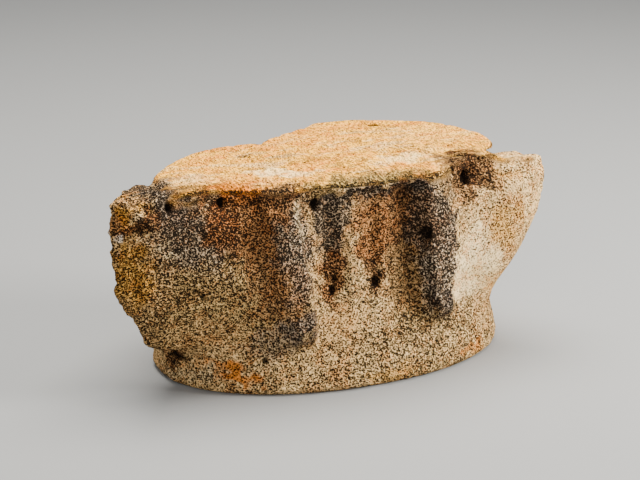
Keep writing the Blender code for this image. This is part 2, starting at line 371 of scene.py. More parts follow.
def wallAt(turn, row):
    # the drum's column, drawn out to the process's stations by the column's share, plus the relief
    x, y, z = drumAt(turn, row)
    narrowFoot = 1 + processes["narrowing"] * ease(*processes["narrowRows"], row)
    rise = ease(*processes["riseRows"], row)
    for process in (processes["left"], processes["right"]):
        share = processShare(turn, row, process)
        slanted = process["slant"] * np.maximum(y - processes["slantStart"], 0)
        reach = stationAt(process["stations"], 1, row) - slanted * ease(*processes["slantRows"], row)
        growth = softMax(reach - np.abs(x), 0 * x, processes["reachBlend"])
        growth = growth * rise * ease(*processes["reachRows"], row)
        x = x + process["side"] * growth * share ** narrowFoot
        frontLift = process["frontLift"] * ease(*processes["frontLiftY"], y)
        lift = frontLift + process["tipLift"] * ease(*processes["tipLiftX"], np.abs(x))
        lift = lift * ease(*processes["liftRows"], row) * ease(*processes["liftEndRows"], row)
        z = z + (stationAt(process["stations"], 2, row) - bone["height"] * row + lift) * share * rise
    cutX, cutDepth = np.array(bone["cornerCuts"]).T
    cut = np.interp(x, cutX, cutDepth) * ease(*bone["cutRows"], row)
    y = y + (cut - dorsalRelief(x, z)) * ease(*dorsal["depthShares"], -y / bone["upperHalf"][1])
    y = y + ventralRelief(x, z) * ease(*ventral["depthShares"], y / bone["upperHalf"][1])
    return x, y, z + faceRelief(x, y) * ease(*upperFace["rows"], row)


def dorsalRelief(x, z):
    # the sum of the two leaning roots, their knobs and the oval marks, less the canal floor and its grooves
    climb = ease(*dorsal["rootClimb"], z)
    right = dorsal["rightRoot"][0] + (dorsal["rightRoot"][1] - dorsal["rightRoot"][0]) * climb
    left = dorsal["leftRoot"][0] + (dorsal["leftRoot"][1] - dorsal["leftRoot"][0]) * climb
    rightRoot = easeFrom(right, dorsal["rightRootInner"], x) * easeFrom(right, dorsal["rightRootOuter"], x)
    leftRoot = band(left, *dorsal["leftRootWidth"], x)
    height = dorsal["rootHeight"] * rightRoot * band(*dorsal["rightRootLength"], z)
    height = height + dorsal["rootHeight"] * leftRoot * band(*dorsal["leftRootLength"], z)
    for knobX, knobZ in dorsal["knobs"]:
        knob = dorsal["knobHeight"] * band(knobX, *dorsal["knobSize"], x)
        height = height + knob * band(knobZ, *dorsal["knobSize"], z)

    canalLength = ease(*dorsal["canalFoot"], z) * ease(*dorsal["canalTop"], z)
    leftBank = easeFrom(left, dorsal["leftBank"], x)
    rightBank = easeFrom(right, dorsal["rightBank"], x)
    height = height - dorsal["canalDepth"] * leftBank * rightBank * canalLength
    height = height - dorsal["recessDepth"] * ease(*dorsal["recessX"], x) * rightBank * canalLength
    grooveLength = ease(*dorsal["grooveFoot"], z) * ease(*dorsal["grooveTop"], z)
    for groove in dorsal["grooves"]:
        height = height - dorsal["grooveDepth"] * band(groove, *dorsal["grooveWidth"], x) * grooveLength
    for markX, markZ, halfLength, halfHeight, degrees, rise in dorsal["marks"]:
        turn = math.radians(degrees)
        stepX, stepZ = x * 1000 - markX, z * 1000 - markZ
        along = (stepX * math.cos(turn) + stepZ * math.sin(turn)) / halfLength
        across = (stepZ * math.cos(turn) - stepX * math.sin(turn)) / halfHeight
        height = height + 0.001 * rise * ease(*dorsal["markEdge"], np.hypot(along, across))
    return height


def ventralRelief(x, z):
    # a keel between two shallow hollows
    keel = ventral["height"] * band(*ventral["keel"], x)
    for hollowX in ventral["hollows"]:
        keel = keel - ventral["height"] * band(hollowX, *ventral["hollowWidth"], x)
    return keel * ease(*ventral["foot"], z) * ease(*ventral["top"], z)


def faceRelief(x, y):
    # a low crown with a slight wave, sin times cos
    out = np.sqrt((x / bone["upperHalf"][0]) ** 2 + (y / bone["upperHalf"][1]) ** 2)
    crown = upperFace["crown"] * (1 - ease(*upperFace["crownFall"], out))
    waveX, waveStart = upperFace["waveX"]
    return crown - upperFace["waveHeight"] * np.sin(waveX * x + waveStart) * np.cos(upperFace["waveY"] * y)


def columnTurns(count):
    # turns spaced by arc length along the section at one row, closer on the dorsal side
    turn = np.linspace(0, 2 * np.pi, meshing["samples"])
    x, y = wallAt(turn, meshing["sectionRow"])[:2]
    crowded = meshing["crowding"] * ease(*meshing["crowdedY"], y[1:])
    crowding = 1 + crowded * ease(*meshing["crowdedX"], np.abs(x[1:]))
    run = np.concatenate([[0], np.cumsum(crowding * np.hypot(np.diff(x), np.diff(y)))])
    return np.interp(np.arange(count) / count * run[-1], run, turn)


def wallGrid():
    # rows u - shift sin(2 pi u) up the wall, by columns round it
    count = meshing["columns"]
    even = np.linspace(0, 1, meshing["rows"])
    row = (even - meshing["rowShift"] * np.sin(2 * np.pi * even))[:, None]
    turn = columnTurns(count)[None, :]
    points = np.stack(wallAt(turn + 0 * row, row + 0 * turn), axis=-1)
    index = np.arange(points.shape[0] * count).reshape(-1, count)
    right = np.roll(index, -1, axis=1)
    faces = np.stack([index[:-1], right[:-1], right[1:], index[1:]], axis=-1).reshape(-1, 4)
    return points, faces


def upperFaceGrid(rim, firstIndex, rimIndex):
    # a square grid turned to a disc: the ring max(|u|, |v|) at the angle (pi/4) v/u, scaled to the rim
    count = meshing["columns"]
    side = count // 4
    u, v = np.meshgrid(np.linspace(-1, 1, side + 1), np.linspace(-1, 1, side + 1), indexing="ij")
    ring = np.maximum(np.abs(u), np.abs(v))
    wide = np.abs(u) >= np.abs(v)
    safeU = np.where(wide & (ring > 0), u, 1.0)
    safeV = np.where(~wide, v, 1.0)
    turn = np.where(wide, v / safeU + 4.0 * (u < 0), 2.0 - u / safeV + 4.0 * (v < 0))
    column = np.mod(turn / 8, 1) * count
    around = np.arange(count + 1)
    x = ring * np.interp(column, around, np.append(rim[:, 0], rim[0, 0]))
    y = ring * np.interp(column, around, np.append(rim[:, 1], rim[0, 1]))
    inner = ring < 1
    index = np.where(inner, firstIndex + np.cumsum(inner).reshape(inner.shape) - 1,
                     rimIndex[np.mod(np.round(column).astype(int), count)])
    z = bone["height"] + faceRelief(x, y)
    points = np.stack([x, y, z], axis=-1)[inner]
    faces = np.stack([index[:-1, :-1], index[1:, :-1], index[1:, 1:], index[:-1, 1:]], axis=-1).reshape(-1, 4)
    return points, faces


def lowerFaceRings(rim, firstIndex):
    # the rim scaled towards the middle, ring by ring, and a fan to the centre
    count = meshing["columns"]
    rings = np.stack([rim * share for share in meshing["lowerRings"]])
    index = np.vstack([np.arange(count)[None, :],
                       firstIndex + np.arange(len(rings) * count).reshape(-1, count)])
    right = np.roll(index, -1, axis=1)
    quads = np.stack([index[:-1], index[1:], right[1:], right[:-1]], axis=-1).reshape(-1, 4)
    centre = firstIndex + len(rings) * count
    fan = np.stack([right[-1], index[-1], np.full(count, centre)], axis=-1)
    return np.vstack([rings.reshape(-1, 3), [[0, 0, 0]]]), quads, fan


def pointNormals(points, quads, fan):
    # the sum of the faces' areas and directions at each point, as unit vectors
    total = np.zeros_like(points)
    for face in (quads, fan):
        push = np.cross(points[face[:, 2]] - points[face[:, 0]], points[face[:, -1]] - points[face[:, 1]])
        for corner in range(face.shape[1]):
            for axis in range(3):
                total[:, axis] += np.bincount(face[:, corner], push[:, axis], len(points))
    return total / np.linalg.norm(total, axis=1, keepdims=True)


grid, wallFaces = wallGrid()
rowCount, columnCount = grid.shape[:2]
upperPoints, upperFaces = upperFaceGrid(grid[-1], grid.size // 3,
                                        np.arange((rowCount - 1) * columnCount, rowCount * columnCount))
lowerPoints, lowerFaces, lowerFan = lowerFaceRings(grid[0], grid.size // 3 + len(upperPoints))
points = np.vstack([grid.reshape(-1, 3), upperPoints, lowerPoints])
quads = np.vstack([wallFaces, upperFaces, lowerFaces])
normals = pointNormals(points, quads, lowerFan)
print("form:", len(points), "points,", 2 * len(quads) + len(lowerFan), "triangles")


# Where the bone is worn, broken or spongy, each 0 to 1
# Slopes are the upward share of the normal.

wear = {
    "ragged": ((0.007, 0.030), (0.009, 0.011), (0.005, 0.0045)),    # height and size of each noise
    "raggedSeeds": (51, 61),                # for x, and for y and z
    "plateRaggedness": 0.3,
    "plateZ": (0.1500, 0.1560),
    "plateSlope": (0.20, 0.55),
    "plateX": (-0.146, -0.136),
    "underZ": (0.004, 0.0),
    "underSlope": (-0.5, -0.9),
    "dorsalY": (0.006, -0.034),
    "dorsalRaggedness": 0.014,
    "dorsalNoise": (0.030, 7, 4),           # size, seed and octaves
    "leftTipX": (-0.145, -0.178),
    "rightTipX": (0.140, 0.160),
    "rightTipShare": 0.55,
    "tipZ": (0.02, 0.04),
    "breakDepth": (-0.001, 0.003),          # how far the break lies inside the whole drum
    "cornerX": (-0.118, -0.142),            # the spongy corner at the far left
    "cornerZ": (0.124, 0.146),
    "underPlateX": (0.091, 0.016, 0.010),
    "underPlateZ": (0.148, 0.012, 0.006),
    "underPlateY": (-0.040, -0.052),
    "tipSponge": 0.7,                       # how spongy the worn tips are
    "rimZ": (0.1500, 0.1570),
    "rimSlope": (0.95, 0.4),
    "rimBeyond": 0.002,                     # the rim's mask ends this far outside the drum
}

x, y, z = points.T
upward = normals[:, 2]
ragged = np.stack([sum(height * noise(points, size, seed + n)
                       for n, (height, size) in enumerate(wear["ragged"]))
                   for seed in wear["raggedSeeds"]], axis=-1)
raggedX, raggedY, raggedZ = x + ragged[:, 0], y + ragged[:, 1], z + ragged[:, 1]
plate = ease(*wear["plateZ"], z + wear["plateRaggedness"] * ragged[:, 1])
plate = plate * ease(*wear["plateSlope"], upward) * ease(*wear["plateX"], raggedX)
under = ease(*wear["underZ"], z) * ease(*wear["underSlope"], upward)
dorsalSide = ease(*wear["dorsalY"], y + wear["dorsalRaggedness"] * roughness(points, *wear["dorsalNoise"]))
rightTip = wear["rightTipShare"] * ease(*wear["rightTipX"], raggedX)
tipWear = np.maximum(ease(*wear["leftTipX"], raggedX), rightTip) * ease(*wear["tipZ"], z)
turns = np.arctan2(y, x - bone["lowerShift"] * (1 - z / bone["height"]))
rows = np.clip(z / bone["height"], 0, 1)
brokenOff = wholeRadius(turns, rows) - breakRadius(turns, rows)
brokenVentral = ease(*wear["breakDepth"], brokenOff) * (1 - plate)
cornerSponge = ease(*wear["cornerX"], raggedX) * ease(*wear["cornerZ"], raggedZ) * (1 - plate)
underPlate = band(*wear["underPlateX"], raggedX) * band(*wear["underPlateZ"], raggedZ) * dorsalSide
plate = plate * (1 - underPlate * ease(*wear["underPlateY"], raggedY))
sponge = np.maximum.reduce([cornerSponge, underPlate, brokenVentral, wear["tipSponge"] * tipWear])
rim = ease(*wear["rimZ"], z) * ease(*wear["rimSlope"], upward)
rim = rim * (np.abs(x) < bone["upperHalf"][0] + wear["rimBeyond"])


# Worn surface: the points move along their normals

relief = {
    # size, height, seed and octaves
    "lumps": (0.034, 0.0010, 1, 2),
    "grain": (0.0075, 0.00065, 11, 2),
    "crumble": (0.013, 0.0030, 21, 3),
    "faceWave": (0.020, 0.00035, 31, 2),
    # size, depth and seed
    "pits": (0.0062, 0.0018, 41),
    "chips": (0.016, 0.0022, 43),
    "facePits": (0.011, 0.0009, 45),
    "pitEdge": (0.42, 0.16),                # in the cell's sides
    # shares on sound bone, and what spongy bone adds
    "grainShares": (0.7, 0.9),
    "pitShares": (0.30, 0.70),
    # shares of the crumbled relief on the processes' tips and on spongy bone
    "crumbleShares": (0.8, 0.6),
}

# a hole's own unit is its half width and half height
holeShape = {
    "topFrom": 158,                         # millimetres; a hole above this is in the upper face
    "reachDown": 12,                        # millimetres; how far from its place a top hole marks the bone
    "reachBack": 22,                        # the same for a hole in a wall
    "raggedness": 0.25,
    "raggedNoise": (0.004, 47),             # size and seed
    "edge": (1.25, 0.35),
    "darkEdge": (1.15, 0.75),
}


def layer(name):
    # one kind of relief over the points
    size, height, seed, octaves = relief[name]
    return height * roughness(points, size, seed, octaves)


wallPart = (1 - plate) * (1 - under)
grainShare, grainSponge = relief["grainShares"]
pitShare, pitSponge = relief["pitShares"]
crumbleTips, crumbleSponge = relief["crumbleShares"]
push = layer("lumps") * wallPart
push = push + layer("grain") * wallPart * (grainShare + grainSponge * sponge)
push = push + layer("crumble") * (crumbleTips * tipWear + crumbleSponge * sponge)
push = push + layer("faceWave") * plate
pitted = {"pits": (pitShare + pitSponge * sponge) * wallPart, "chips": rim, "facePits": plate}
for name, share in pitted.items():
    pitSize, pitDepth, seed = relief[name]
    push = push - pitDepth * ease(*relief["pitEdge"], cells(points, pitSize, seed)) * share
hollowShade = np.zeros(len(points))
holeRagged = holeShape["raggedness"] * noise(points, *holeShape["raggedNoise"])
for holeX, holeY, holeZ, halfWidth, halfHeight, depth in holes:
    awayX, awayY, awayZ = x * 1000 - holeX, y * 1000 - holeY, z * 1000 - holeZ
    if holeZ > holeShape["topFrom"]:
        alongUp, near = awayY / halfHeight, np.abs(awayZ) < holeShape["reachDown"]
    else:
        alongUp, near = awayZ / halfHeight, np.abs(awayY) < holeShape["reachBack"]
    inside = np.hypot(awayX / halfWidth, alongUp) + holeRagged
    push = push - depth * 0.001 * ease(*holeShape["edge"], inside) * near
    hollowShade = np.maximum(hollowShade, ease(*holeShape["darkEdge"], inside) * near)
moved = points + normals * push[:, None]
moved[:, 2] = np.maximum(moved[:, 2], 0)
moved[:, 2] = np.where(z <= 0.0, 0.0, moved[:, 2])
print("worn surface: moved by", round(float(push.min()) * 1000, 2),
      "to", round(float(push.max()) * 1000, 2), "mm")


# Colour of the bone's walls and share of dark pores, at each point

# scene-linear colours of the bone's strands; the pores darken them
colours = {
    "cream": (0.93, 0.63, 0.29),
    "chalk": (0.92, 0.70, 0.39),
    "tan": (0.76, 0.46, 0.19),
    "sand": (0.99, 0.49, 0.055),
    "pale": (1.0, 0.72, 0.33),
    "apricot": (0.98, 0.40, 0.05),
    "ochre": (0.78, 0.40, 0.08),
    "orange": (0.96, 0.26, 0.02),
    "rust": (0.66, 0.26, 0.08),
    "umber": (0.46, 0.21, 0.08),
    "ember": (0.66, 0.20, 0.02),
    "amber": (0.78, 0.24, 0.01),
    "brown": (0.60, 0.32, 0.13),
    "ash": (0.70, 0.54, 0.35),
    "grey": (0.50, 0.38, 0.27),
    "charcoal": (0.34, 0.27, 0.22),
    "bluish": (0.75, 0.72, 0.64),
    "olive": (0.62, 0.42, 0.17),
    "moss": (0.42, 0.29, 0.10),
    "earth": (0.52, 0.30, 0.12),
    "pinkish": (0.96, 0.74, 0.52),
}

# on the dorsal wall, real staining with some painted shade and light, in millimetres and degrees: x, z, half
# width, half height, turn, colour, strength, pores
wallStainsAndShading = (
    # partly painted shade: the tan over the left half is partly the bone's darker colour, partly the shade of
    # the side turned from the light
    (-128, 80, 74, 96, 0, "tan", 0.95, 0.55),
    (-128, 84, 52, 46, 0, "olive", 0.60, 0.56),
    (-105, 60, 40, 26, 0, "olive", 0.60, 0.46),
    (-170, 145, 26, 15, 0, "brown", 0.85, 0.54),
    (-176, 148, 12, 8, 0, "sand", 0.70, 0.46),
    (-132, 128, 32, 26, 0, "grey", 0.80, 0.62),
    (-150, 152, 17, 12, 0, "grey", 0.90, 0.66),
    (-128, 150, 20, 9, 0, "charcoal", 0.80, 0.64),
    (-173, 137, 17, 5, 35, "umber", 0.90, 0.72),
    (-172, 130, 16, 3.5, 35, "cream", 0.85, 0.40),
    (-168, 149, 10, 3, 30, "cream", 0.70, 0.44),
    (-165, 92, 18, 34, 0, "tan", 0.60, 0.52),
    (-177, 104, 14, 27, 0, "ochre", 0.90, 0.50),
    (-181, 143, 9, 10, 0, "orange", 0.25, 0.50),
    (-184, 127, 6, 6, 0, "bluish", 0.75, 0.26),
    (-120, 46, 34, 20, 0, "tan", 0.60, 0.42),
    (-95, 150, 44, 8, 0, "brown", 0.85, 0.60),
    (-101, 155, 22, 7, 0, "orange", 0.90, 0.46),
    (-66, 155, 26, 5, 0, "umber", 0.85, 0.62),
    (-38, 155, 14, 7, 0, "olive", 0.80, 0.54),
    (-112, 137, 11, 21, 0, "rust", 0.90, 0.78),
    (-90, 134, 24, 24, 0, "rust", 0.70, 0.62),
    # partly painted shade: the umber in the hollow left of the left root is partly staining, partly the shade
    # in that hollow
    (-79, 118, 13, 24, 0, "umber", 0.60, 0.48),
    (-82, 92, 14, 16, 0, "brown", 0.70, 0.55),
    (-60, 110, 12, 36, 8, "pinkish", 0.90, 0.70),
    (-66, 82, 17, 26, 8, "rust", 0.40, 0.53),
    (-70, 66, 16, 12, 20, "brown", 0.60, 0.50),
    (-54, 53, 11, 12, 0, "charcoal", 0.85, 0.54),
    (-75, 38, 22, 8, 25, "grey", 0.60, 0.54),
    # partly painted shade: the grey band right under the upper rim is partly grey bone, partly the shade
    # under the rim's overhang
    (-8, 147, 44, 7, 4, "grey", 0.90, 0.66),
    (30, 143, 18, 7, 4, "umber", 0.80, 0.66),
    (-30, 122, 13, 26, 0, "grey", 0.80, 0.70),
    (8, 118, 24, 26, 0, "rust", 0.70, 0.61),
    # painted shade: umber in the upper recess left of the right root, where its shadow falls
    (36, 116, 13, 30, 0, "umber", 0.90, 0.58),
    (-10, 88, 6, 34, 0, "cream", 0.80, 0.47),
    (-28, 88, 8, 20, 0, "rust", 0.75, 0.68),
    (7, 84, 6, 16, 0, "umber", 0.70, 0.70),
    # painted shade: earth brown and olive down the same recess to its foot
    (36, 76, 16, 36, 0, "earth", 0.80, 0.56),
    (45, 42, 22, 11, -10, "olive", 0.80, 0.60),
    (55, 102, 14, 56, 8, "pinkish", 0.95, 0.74),
    # painted shade: umber on the right root's left flank, in its own shadow
    (47, 122, 9, 24, 8, "umber", 0.60, 0.70),
    (46, 149, 7, 6, 0, "charcoal", 0.90, 0.64),
    (62, 54, 10, 13, 0, "charcoal", 0.95, 0.66),
    (77, 102, 7, 48, 4, "cream", 0.80, 0.40),
    (96, 76, 26, 34, -12, "chalk", 0.95, 0.20),
    (150, 122, 22, 34, 0, "cream", 0.80, 0.24),
    (116, 106, 19, 22, -20, "tan", 0.60, 0.36),
    (120, 104, 14, 17, -20, "ochre", 0.60, 0.40),
    (98, 124, 14, 16, 0, "cream", 0.60, 0.30),
    (123, 143, 13, 5, 0, "ochre", 0.60, 0.24),
    (90, 150, 27, 19, 0, "brown", 0.95, 0.62),
    (91, 147, 9, 11, 0, "umber", 0.85, 0.78),
    (76, 134, 7, 9, 0, "brown", 0.60, 0.56),
    (112, 62, 20, 12, -30, "olive", 0.45, 0.18),
    (18, 26, 100, 26, 4, "cream", 0.50, 0.58),
    # painted light: a paler cream patch lifts the lower left, which lies in shade under the left process
    (-96, 16, 52, 22, 0, "cream", 0.60, 0.36),
    (-101, 15, 15, 6, 0, "ember", 0.90, 0.40),
    (-136, 26, 6, 6, 0, "ember", 0.95, 0.50),
    (11, 8, 24, 4, 0, "ochre", 0.60, 0.40),
    (97, 11, 8, 5, 0, "amber", 0.70, 0.36),
    (50, 6, 60, 4, 3, "olive", 0.50, 0.50),
    (-128, 9, 18, 5, 0, "chalk", 0.60, 0.50),
    (-131, 21, 9, 7, -20, "umber", 0.80, 0.70),
    (-147, 117, 8, 6, 0, "chalk", 0.70, 0.44),
    (-60, 137, 5, 15, 0, "chalk", 0.75, 0.46),
    (-118, 149, 10, 5, 0, "chalk", 0.40, 0.52),
)
# on the upper face: x, y, half width, half depth, turn, colour, strength, pores
faceStains = (
    (100, -5, 40, 50, 0, "cream", 0.15, 0.26),
    (-58, -40, 26, 7, -18, "pale", 0.80, 0.14),
    (56, -40, 38, 8, 18, "pale", 0.65, 0.16),
    (-122, -30, 14, 12, -30, "pale", 0.70, 0.24),
    (-20, 50, 50, 26, 10, "apricot", 0.50, 0.32),
    (-84, -55, 40, 12, -24, "apricot", 0.50, 0.36),
    (96, -28, 34, 20, 10, "sand", 0.60, 0.42),
    (-122, -55, 16, 11, -38, "moss", 0.80, 0.60),
    (-125, -50, 12, 8, -38, "ochre", 0.70, 0.56),
    (-72, -75, 28, 8, -12, "brown", 0.95, 0.56),
    (-101, -63, 22, 10, -31, "amber", 0.95, 0.44),
    (-2, -80, 54, 11, 0, "moss", 0.90, 0.52),
    (62, -72, 16, 8, 20, "tan", 0.60, 0.44),
    (88, -56, 28, 12, 0, "tan", 0.60, 0.44),
)


weatheringAndShade = {
    "stainPower": 2.4,
    "stainEdge": (1.30, 0.60),              # in the stain's own half sizes
    "mottle": (0.045, 91),                  # size and seed
    "mottleGain": 0.9,
    "patches": (0.030, 101),
    "patchEdge": (0.1, 0.5),
    "patchShare": 0.5,
    "wallPores": (0.34, 0.14),              # share of pores, and what the mottling adds
    "spongeShare": 0.7,
    "spongePores": 0.6,
    "streaks": (0.011, 121),
    "streakStretch": (0.35, 1.0, 1.0),
    "faceTone": (0.94, 0.14),               # brightness, and what the mottling adds
    "warmStreaks": (0.10, 0.55),
    "warmShare": 0.8,
    "paleStreaks": (-0.15, -0.6),
    "paleShare": 0.4,
    "facePores": (0.30, 0.10),              # share of pores, and what the patches add
    "bevelSlope": (0.98, 0.80),             # the upper face's worn dorsal edge
    "bevelPores": 0.24,                     # what it adds to the share of pores
    # how dark the painted shade inside the holes is
    "holeShade": 0.93,
}


def dye(tone, colour, share):
    # the tone moved towards a colour by its share
    return tone + (np.array(colour) - tone) * share[:, None]


def paintSpots(tone, pores, across, along, spots, here):
    # each spot covers a squarish ellipse, eased out at its edge, over those before it
    power = weatheringAndShade["stainPower"]
    for spotA, spotB, halfA, halfB, angle, name, strength, spotPores in spots:
        turn = math.radians(angle)
        stepA, stepB = across * 1000 - spotA, along * 1000 - spotB
        turnedA = (stepA * math.cos(turn) + stepB * math.sin(turn)) / halfA
        turnedB = (stepB * math.cos(turn) - stepA * math.sin(turn)) / halfB
        away = (np.abs(turnedA) ** power + np.abs(turnedB) ** power) ** (1 / power)
        share = ease(*weatheringAndShade["stainEdge"], away) * strength * here
        tone = dye(tone, colours[name], share)
        pores = pores + (spotPores - pores) * share
    return tone, pores


mottle = np.clip(0.5 + weatheringAndShade["mottleGain"] * roughness(points, *weatheringAndShade["mottle"]), 0, 1)
patches = ease(*weatheringAndShade["patchEdge"], roughness(points, *weatheringAndShade["patches"]))

tone = np.array(colours["cream"]) * mottle[:, None] + np.array(colours["tan"]) * (1 - mottle[:, None])
tone = dye(tone, colours["brown"], weatheringAndShade["patchShare"] * patches * (1 - dorsalSide))
fewest, added = weatheringAndShade["wallPores"]
tone, pores = paintSpots(tone, fewest + added * mottle, raggedX, raggedZ, wallStainsAndShading, dorsalSide)
spongeTone = np.array(colours["brown"]) * 0.5 + np.array(colours["ash"]) * 0.5
bare = sponge * (1 - dorsalSide)
tone = dye(tone, spongeTone, weatheringAndShade["spongeShare"] * bare)
pores = pores + (weatheringAndShade["spongePores"] - pores) * bare

streaks = roughness(points * np.array(weatheringAndShade["streakStretch"]), *weatheringAndShade["streaks"])
dimmest, added = weatheringAndShade["faceTone"]
faceTone = np.array(colours["sand"]) * (dimmest + added * mottle[:, None])
warm, pale = ease(*weatheringAndShade["warmStreaks"], streaks), ease(*weatheringAndShade["paleStreaks"], streaks)
faceTone = dye(faceTone, colours["apricot"], weatheringAndShade["warmShare"] * warm)
faceTone = dye(faceTone, colours["chalk"], weatheringAndShade["paleShare"] * pale)
fewest, added = weatheringAndShade["facePores"]
faceTone, facePores = paintSpots(faceTone, fewest + added * patches, raggedX, raggedY, faceStains, 1.0)
bevelled = ease(*weatheringAndShade["bevelSlope"], upward) * dorsalSide
facePores = facePores + weatheringAndShade["bevelPores"] * bevelled
tone = dye(tone, faceTone, plate)
pores = pores + (facePores - pores) * plate
# painted shade: the bone in and around each hole is darkened as if in shadow
tone = tone * (1 - weatheringAndShade["holeShade"] * hollowShade[:, None])
print("paintedSpots:", len(wallStainsAndShading) + len(faceStains))


def makeMesh(name, places, quadFaces, fanFaces, attributes):
    # an object from arrays of points, faces of four and of three corners, and values at the points
    mesh = bpy.data.meshes.new(name)
    mesh.from_pydata(places.tolist(), [], quadFaces.tolist() + fanFaces.tolist())
    mesh.shade_smooth()
    for label, values in attributes.items():
        if values.ndim == 2:
            data = mesh.attributes.new(label, "FLOAT_COLOR", "POINT").data
            data.foreach_set("color", np.column_stack([values, np.ones(len(values))]).ravel())
        else:
            data = mesh.attributes.new(label, "FLOAT", "POINT").data
            data.foreach_set("value", values)
    piece = bpy.data.objects.new(name, mesh)
    bpy.context.collection.objects.link(piece)
    return piece


placed = moved + np.array([bone["axisX"], 0, 0])
vertebra = makeMesh("vertebra", placed, quads, lowerFan,
                    {"tone": tone, "pores": pores, "sponge": sponge, "face": plate})


# Shader maths as Python expressions

class Wire:
    # a socket that adds its own Math nodes
    def __init__(self, shop, socket):
        self.shop = shop
        self.socket = socket

    def math(self, operation, first, second):
        return self.shop.node("ShaderNodeMath", {"operation": operation}, {0: first, 1: second})

    def __add__(self, other):
        return self.math("ADD", self, other)

    def __radd__(self, other):
        return self.math("ADD", other, self)

    def __sub__(self, other):
        return self.math("SUBTRACT", self, other)

    def __rsub__(self, other):
        return self.math("SUBTRACT", other, self)

    def __mul__(self, other):
        return self.math("MULTIPLY", self, other)

    def __rmul__(self, other):
        return self.math("MULTIPLY", other, self)


class Finish:
    # one material, its Principled BSDF and the one method that adds every other node
    def __init__(self, name):
        self.material = bpy.data.materials.new(name)
        self.material.use_nodes = True
        self.tree = self.material.node_tree
        self.shader = self.tree.nodes["Principled BSDF"]

    def node(self, kind, settings, inputs, output=0):
        made = self.tree.nodes.new(kind)
        for label, value in settings.items():
            setattr(made, label, value)
        for key, value in inputs.items():
            self.feed(made.inputs[key], value)
        return Wire(self, made.outputs[output])

    def feed(self, socket, value):
        if isinstance(value, Wire):
            self.tree.links.new(value.socket, socket)
        else:
            socket.default_value = value

    def step(self, value, start, end):
        # 0 at start, 1 at end, eased between
        return self.node("ShaderNodeMapRange", {"interpolation_type": "SMOOTHSTEP"},
                         {"Value": value, "From Min": start, "From Max": end, "To Min": 0.0, "To Max": 1.0})

    def mix(self, share, first, second, blend="MIX"):
        # a Mix node's colours are its inputs 6 and 7, and their mix is output 2
        return self.node("ShaderNodeMix", {"data_type": "RGBA", "blend_type": blend},
                         {0: share, 6: first, 7: second}, 2)

    def cells(self, place, scale):
        # how far it is to the middle of the cell, and two chances of the cell's own, all about 0 to 1
        near = self.node("ShaderNodeTexVoronoi", {}, {"Vector": place, "Scale": scale})
        chance = self.node("ShaderNodeSeparateColor", {}, {0: Wire(self, near.socket.node.outputs["Color"])})
        return near, chance, Wire(self, chance.socket.node.outputs["Green"])

    def grain(self, place, scale, detail):
        # noise about 0.5
        return self.node("ShaderNodeTexNoise", {"noise_dimensions": "3D"},
                         {"Vector": place, "Scale": scale, "Detail": detail,
                          "Roughness": boneShader["noiseRoughness"]})


boneShader = {
    "poreScale": 930.0,                     # pores a metre
    "spongeScale": 470.0,                   # the same for the spongy bone's wider holes
    "faceStretch": (1.0, 0.5, 1.0),         # the upper face's pores are longer
    "drift": (95.0, 3.0),                   # scale and detail of the slow change
    "middle": (300.0, 2.0),                 # and of the quicker one
    "noiseRoughness": 0.55,
    "poreCurve": (0.2, 1.04),               # turns the share of pores into an amount
    "driftPores": 0.24,
    "mostPores": 0.76,
    "chanceShare": 0.6,                     # how much the cell's own chance counts beside the distance
    "openOffset": 0.245,
    "middleShare": 0.14,
    "poreEdge": 0.08,
    "wideSponge": 0.3,                      # how many more wide holes spongy bone has
    "widePicked": (0.62, 0.52),             # below the amount
    "wideEdge": (0.26, 0.36),
    "strandRise": 0.40,
    "strandShade": 0.30,
    "warmth": (0.88, 0.55, 0.32, 1.0),
    "warmSpread": 0.35,
    "warmEdge": (0.50, 0.68),
    "warmShare": 0.6,
    "shallowPores": (0.60, 0.36),           # the upper face's pores are shallow where they are few
    "shallowChance": (0.15, 0.45),
    "shallowShare": 0.34,
    "deepShare": 0.015,
    # painted shade: the near-black colour down in the pores, made paler where the upper face's pores are
    # shallow
    "poreShade": (0.005, 0.003, 0.002, 1.0),
    "black": (0.0, 0.0, 0.0, 1.0),
    "roughness": 0.85,
    "gloss": 0.05,
    "bumpStrength": 0.9,
    "bumpDepth": 0.0008,
}


